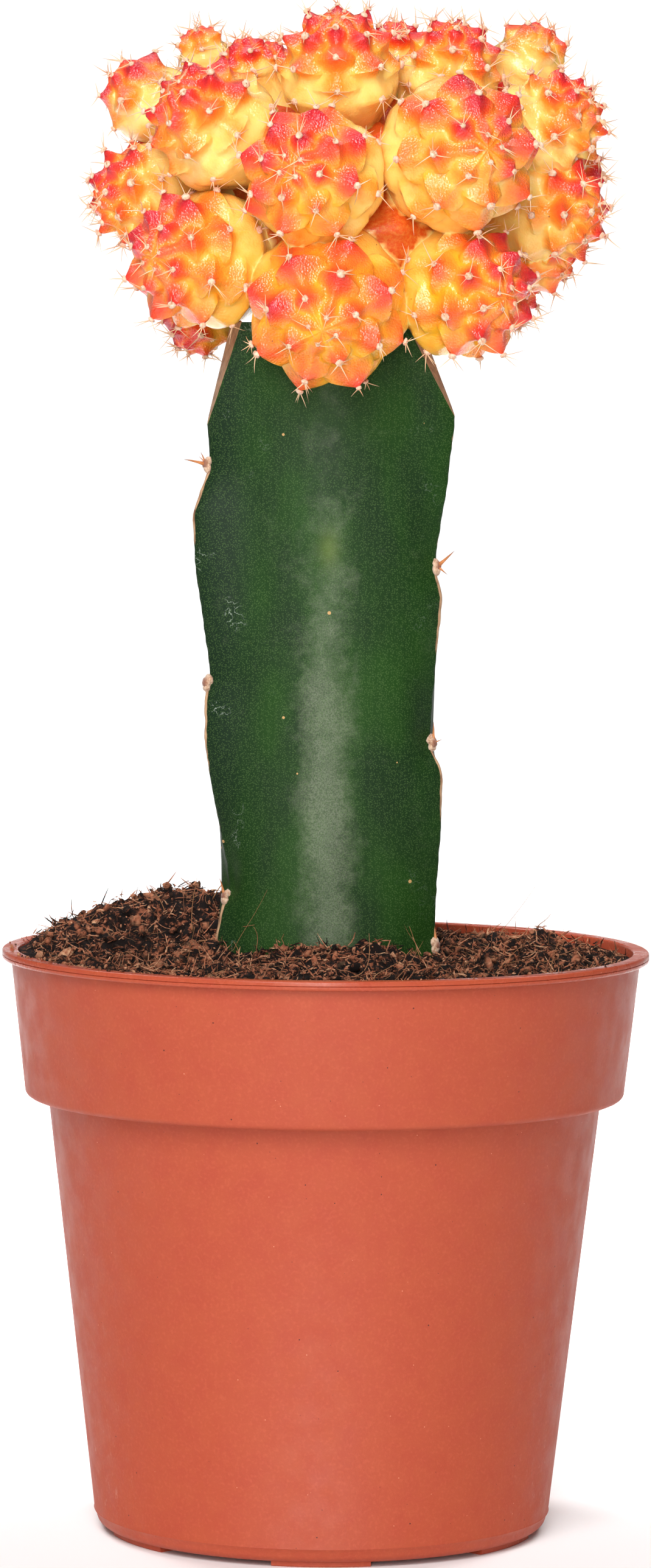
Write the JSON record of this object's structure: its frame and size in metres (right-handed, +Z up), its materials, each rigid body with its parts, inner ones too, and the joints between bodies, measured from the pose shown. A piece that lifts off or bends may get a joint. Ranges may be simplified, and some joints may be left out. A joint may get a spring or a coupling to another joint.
{
  "type": "potted moon cactus",
  "caption": "Grafted moon cactus: a spiny cluster of ribbed yellow-red heads on a three-ribbed green rootstock, standing in potting mix in a stepped round plastic nursery pot.",
  "frame": {"origin": "middle of the plane that the pot's feet stand on", "axes": "+Z up along the pot's axis; the side that the picture shows faces -Y; +X is to the right in it"},
  "size_m": [0.085, 0.085, 0.2019],
  "materials": {
    "pot_plastic": "satin terracotta-coloured polypropylene",
    "potting_mix": "damp peat crumbs with fibres and bark chips",
    "rootstock_skin": "waxy dark green skin with corky rib edges",
    "scion_skin": "glossy translucent skin, yellow in the hollows and red on the tubercles"
  },
  "bodies": {
    "root": {"pot": "pot_plastic", "potting_mix": "potting_mix", "rootstock": "rootstock_skin", "scion": "scion_skin"}
  },
  "joints": []
}
